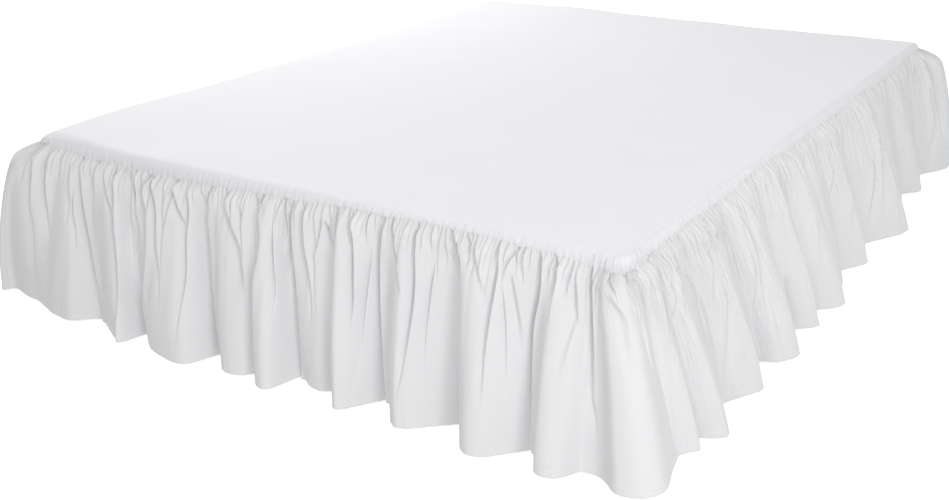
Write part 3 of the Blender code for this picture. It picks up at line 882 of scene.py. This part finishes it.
def wrinkle_relief(s, drop, out):
    """How far the cloth of the ruffle stands off its main folds, out of them, at each place."""
    relief = np.zeros(s.shape)
    order = np.argsort(s)
    sorted_s = s[order]
    for depth, top_width, low_width, path, at_seam, widest in WRINKLES:
        places = [point[0] for point in path]
        top, low = path[0][1], path[-1][1]
        reach = 5 * max(top_width, low_width) + 0.004  # beyond this a crease isn't felt
        first = np.searchsorted(sorted_s, min(places) - reach)
        last = np.searchsorted(sorted_s, max(places) + reach)
        picked = order[first:last]
        run = (drop[picked] - top) / (low - top)
        inside = (run > -0.02) & (run <= 1.0)
        picked, run = picked[inside], run[inside]
        t = drop[picked]
        width = top_width + (low_width - top_width) * run
        centre = curve_at(path, t)
        turns = [np.sign(place) * edge_turn(np.abs(place)) for place in (centre, s[picked])]
        side = centre - s[picked] + out[picked] * (turns[0] - turns[1])
        if places[0] > SIDE_START:
            side = -side
        fade_in = 1.0 if top < AT_SEAM else smooth(run / FADE_IN)
        fade_out = 1 - HEM_LOSS * run**2 if low > AT_HEM else 1 - smooth((run - FADE_OUT) / (1 - FADE_OUT))
        opening = smooth(t / (SHALLOW_OPENING if depth < SHALLOW else DEEP_OPENING))
        start = at_seam + (1 - at_seam) * opening
        relief[picked] -= depth * crease(side, width, widest) * fade_in * fade_out * start
    return relief


# Shares of the drop within which the folds set in, the creases are cut square to the deck's cloth, the
# cloth puffs up between them, and it leaves the deck's edge and the bed
FOLDS_OPEN = 0.04
SQUARE_CUT = 0.020
PUFF_OPENS = 0.050
EDGE_LEFT = 0.15
BED_LEFT = 0.06
BED_REACH = 0.0045  # just below the seam the cloth may lie this far in from it
BASE_GAP = 0.0004  # least room from the line of the bed's edge in to the cloth's face
PRESSED = 0.0012  # softness with which it keeps that room

PUFF = 0.0040  # the cloth's rise between creases, and how much of it is lost by which share of the drop
PUFF_LOSS, PUFF_LOST = 0.6, 0.60
FINE_WAVE = 0.0010
FINE_WAVE_LENGTH, FINE_WAVE_STRETCH = 0.075, 4.0

SEAM_TUCK = 0.0010  # of the ruffle's top edge into the deck's
HEM_DEPTH = 0.012  # of the turned hem
HEM_STEP = 0.0007  # by which its doubled cloth stands out
HEM_EDGE = 0.0004  # half the height of that step
HEM_GROOVE = 0.0005  # drawn in by its row of stitches, with its height below the step and its width
STITCH_IN, STITCH_WIDTH = 0.0022, 0.0009
HEM_PUCKER = 0.0007  # small waves along the hem: depth, length, how steady they are and their height
HEM_PUCKER_LENGTH, HEM_PUCKER_STRETCH, HEM_PUCKER_RUN = 0.012, 9.0, 0.016


def hang_ruffle(seam, hem, hem_out, drop):
    """Points of the ruffle's cloth, drop being the share of the way from the seam to the hem."""
    edge_out, top_z = roll_section(seam, 1.0, -SEAM_TUCK, np.where(drop > 0, CLOTH / 2, 0))
    before_out, before_z = roll_section(seam, 0.98)
    after_out, after_z = roll_section(seam, 1.0)
    steep = np.arctan2(before_z - after_z, after_out - before_out)  # slope of the deck's cloth there
    x0, y0 = plan(seam, 0)
    x1, y1 = plan(hem, hem_out)
    x, y = x0 + (x1 - x0) * drop, y0 + (y1 - y0) * drop
    turn = np.arctan2(np.maximum(np.abs(x) - CORE_X, 0), np.maximum(np.abs(y) - CORE_Y, 1e-9))
    s = along_edge(x, y, turn)
    corner = cornering(s)
    mean = MEAN_FLARE + (CORNER_FLARE - MEAN_FLARE) * corner
    near = np.abs(s - SIDE_START) < NEAR_REACH
    corner_bell = np.where(near, NEAR_CORNER_BELL, CORNER_BELL)
    bell = 1 - (1 - drop) ** (SIDE_BELL + (corner_bell - SIDE_BELL) * corner)
    side_swell = np.where(s < -SIDE_START, LEFT_SWELL, SIDE_SWELL)
    corner_swell = np.where(near, NEAR_CORNER_SWELL, CORNER_SWELL)
    swell = side_swell + (corner_swell - side_swell) * corner
    out = swell * (1 - np.exp(-((drop / SWELL_DEPTH) ** SWELL_POWER))) + (mean - swell) * bell
    out += (hem_out - mean) * drop**FOLD_GROWTH * smooth(drop / FOLDS_OPEN)
    tall = top_z - HEM_CLEARANCE
    z = top_z + (HEM_CLEARANCE + HEM_WAVE * np.sin(HEM_WAVES * hem) - top_z) * drop
    started = smooth(drop / PUFF_OPENS)
    out += edge_out * (1 - smooth(drop / EDGE_LEFT))
    relief = wrinkle_relief(s, drop, out)
    tilt = 1 - smooth(drop / SQUARE_CUT)
    z += relief * tilt * np.cos(steep)
    out += relief * (1 - tilt * (1 - np.sin(steep)))
    out += PUFF * started * (1 - PUFF_LOSS * smooth(drop / PUFF_LOST))
    out += FINE_WAVE * started * soft_noise(s, drop * tall, 31, FINE_WAVE_LENGTH, FINE_WAVE_STRETCH)
    least = BASE_GAP + (edge_out - BED_REACH - BASE_GAP) * (1 - smooth(drop / BED_LEFT))
    out = least + PRESSED * np.logaddexp(0, (out - least) / PRESSED)
    above_hem = (1 - drop) * tall
    in_hem = smooth((HEM_DEPTH + HEM_EDGE - above_hem) / (2 * HEM_EDGE))
    groove = np.exp(-(((above_hem - HEM_DEPTH + STITCH_IN) / STITCH_WIDTH) ** 2))
    pucker = soft_noise(hem, 0 * hem, 41, HEM_PUCKER_LENGTH, HEM_PUCKER_STRETCH)
    pucker *= np.exp(-above_hem / HEM_PUCKER_RUN)
    out += HEM_STEP * in_hem - HEM_GROOVE * groove + HEM_PUCKER * pucker
    x, y = plan(s, out)
    return x, y, z


def even_columns(start_line, end_line, count):
    """count + 1 columns evenly spread over the cloth between two fold lines, by their numbers."""
    steps = (len(CLOSE) - 1) // (len(fold_lines()) - 1)
    part = CLOSE[start_line * steps : end_line * steps + 1]
    gaps = np.diff(part, axis=0)
    x, y = plan(part[:, 1], part[:, 2])
    length = np.hypot(np.diff(x), np.diff(y)) + 0.5 * np.abs(gaps[:, 0])
    measure = np.concatenate(((0.0,), np.cumsum(length)))
    even = np.linspace(0, measure[-1], count + 1)
    return np.stack([np.interp(even, measure, part[:, i]) for i in range(3)], axis=1)


ruffle_cloth = microfibre("brushed_microfibre_ruffle", "#DCDCDD", "#D8D8DA")
# Shares of the drop for the rows of the mesh, close under the seam and round the hem
ROWS = np.array(
    [0, 0.003, 0.006, 0.009, 0.013, 0.018, 0.024, *np.linspace(0.031, 0.30, 22)[:-1]]
    + [*np.linspace(0.30, 0.955, 32)[:-1], 0.955, 0.9620, 0.9660, 0.9675, 0.9690, 0.9720, 0.9740]
    + [0.9780, 0.9850, 0.9930, 1.0]
)
COLUMNS = 710
COLUMN_CLOTH = 0.0035  # between columns, on the mean

# Fine puckers: their depth, the share of the drop over which they die out, and from where along the seam
# on the right side they are deeper by a share and run further down
RUFFLE_PUCKER = 0.0034
PUCKER_RUN, LONG_PUCKER_RUN = 0.14, 0.60
LONG_START, LONG_REACH = 0.70, 0.15
LONG_PUCKER = 0.7

# The four widths, and the valleys in which they meet
WIDTHS = ("ruffle_left", "ruffle_foot_left", "ruffle_foot_right", "ruffle_right")
JOINS = (TABLE_FOLDS[0].valley, 0.292, 1.202)
line_of = {fold.valley: 1 + 3 * i for i, fold in enumerate(FOLDS)}
ends = (0, *(line_of[valley] for valley in JOINS), len(fold_lines()) - 1)

for name, first, last in zip(WIDTHS, ends, ends[1:]):
    bm = bmesh.new()
    bmesh.ops.create_grid(bm, x_segments=COLUMNS, y_segments=len(ROWS) - 1, size=0.5)
    mesh = sheet_mesh(name, bm)
    grid = mesh_points(mesh)
    column = np.rint((grid[:, 0] + 0.5) * COLUMNS).astype(int)
    row = len(ROWS) - 1 - np.rint((grid[:, 1] + 0.5) * (len(ROWS) - 1)).astype(int)
    picked = even_columns(first, last, COLUMNS)[column]
    place_points(mesh, hang_ruffle(*picked.T, ROWS[row]))
    cloth_uv(mesh, column * COLUMN_CLOTH, -DROP * ROWS[row])
    long = smooth((picked[:, 0] - LONG_START) / LONG_REACH)
    fade = np.exp(-ROWS[row] / (PUCKER_RUN + LONG_PUCKER_RUN * long))
    pucker_depth = RUFFLE_PUCKER * (1 + LONG_PUCKER * long) * fade
    fine_puckers(mesh, column * COLUMN_CLOTH, DROP * ROWS[row], pucker_depth)
    piece = cloth_piece(name, mesh, ruffle_cloth)
    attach(piece, "root")
    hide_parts("ruffle")


# ---- Floor, light and camera ----
# A plain white studio floor with a pale room round it, and six soft lights: a broad one from the right of
# the foot, and weaker ones in front, at the side, on the left and above. None is part of the bed.

FLOOR_HALF = 150.0
floor_mesh = bpy.data.meshes.new("studio_floor")
bm = bmesh.new()
bmesh.ops.create_grid(bm, x_segments=1, y_segments=1, size=FLOOR_HALF)
bm.to_mesh(floor_mesh)
bm.free()
# Opal acrylic lit from below: an even, matt white that takes hardly a shadow.
glow = {"Emission Color": (1.0, 1.0, 1.0, 1.0), "Emission Strength": 0.66}
opal = {"Base Color": from_hex("#F2F2F2"), "Roughness": 0.9, **glow}
floor_mesh.materials.append(new_finish("lit_opal_acrylic", opal)[0])
floor = add_object("studio_floor", floor_mesh)
floor.visible_diffuse = False  # it sends no light back up to the cloth

room = bpy.data.worlds.new("pale_room")
room.use_nodes = True
background = room.node_tree.nodes["Background"].inputs
background["Color"].default_value = (1.0, 1.0, 1.0, 1.0)
background["Strength"].default_value = 0.60
bpy.context.scene.world = room


def soft_light(name, place, target, size, power):
    """A square white area light that faces a point."""
    data = bpy.data.lights.new(name, "AREA")
    data.shape = "SQUARE"
    data.size = size
    data.energy = power
    lamp = add_object(name, data)
    lamp.location = place
    lamp.visible_camera = False
    lamp.rotation_euler = (Vector(target) - Vector(place)).to_track_quat("-Z", "Y").to_euler()


soft_light("key_light", (5.2, -4.2, 2.15), (0.4, -1.0, 0.2), 1.7, 84)
soft_light("front_light", (1.4, -3.0, 1.3), (0.5, -1.0, 0.2), 1.0, 16.5)
soft_light("side_light", (2.9, -0.2, 1.3), (0.8, 0.2, 0.2), 1.0, 9)
soft_light("top_light", (1.0, -1.8, 3.8), (0.3, -0.6, 0.3), 2.4, 16)
soft_light("overhead_light", (0.2, 0.3, 3.2), (0.2, 0.2, 0.3), 2.4, 6)
soft_light("left_light", (-2.4, 1.0, 1.9), (-0.5, 0.2, 0.38), 1.4, 46)

CAMERA_PLACE = Vector((1.5826, -2.7703, 1.1584))
CAMERA_YAW = 2.14292  # radians from +X
CAMERA_PITCH = 0.37563  # below the horizon
CAMERA_ROLL = -0.01676
FOCAL_PIXELS = 1208.85  # of a frame that is FRAME_PIXELS wide
FRAME_PIXELS = 949
SENSOR_WIDTH = 36.0

reach = math.cos(CAMERA_PITCH)
forward = Vector((math.cos(CAMERA_YAW) * reach, math.sin(CAMERA_YAW) * reach, -math.sin(CAMERA_PITCH)))
level = forward.cross(Vector((0, 0, 1))).normalized()
upright = level.cross(forward)
across = math.cos(CAMERA_ROLL) * level + math.sin(CAMERA_ROLL) * upright
upward = math.cos(CAMERA_ROLL) * upright - math.sin(CAMERA_ROLL) * level
camera_data = bpy.data.cameras.new("camera")
camera_data.sensor_width = SENSOR_WIDTH
camera_data.lens = SENSOR_WIDTH * FOCAL_PIXELS / FRAME_PIXELS
camera = add_object("camera", camera_data)
camera_turn = Matrix((across, upward, -forward)).transposed()
camera.matrix_world = Matrix.Translation(CAMERA_PLACE) @ camera_turn.to_4x4()
bpy.context.scene.camera = camera
bpy.context.scene.view_settings.view_transform = "Standard"

bpy.context.view_layer.update()
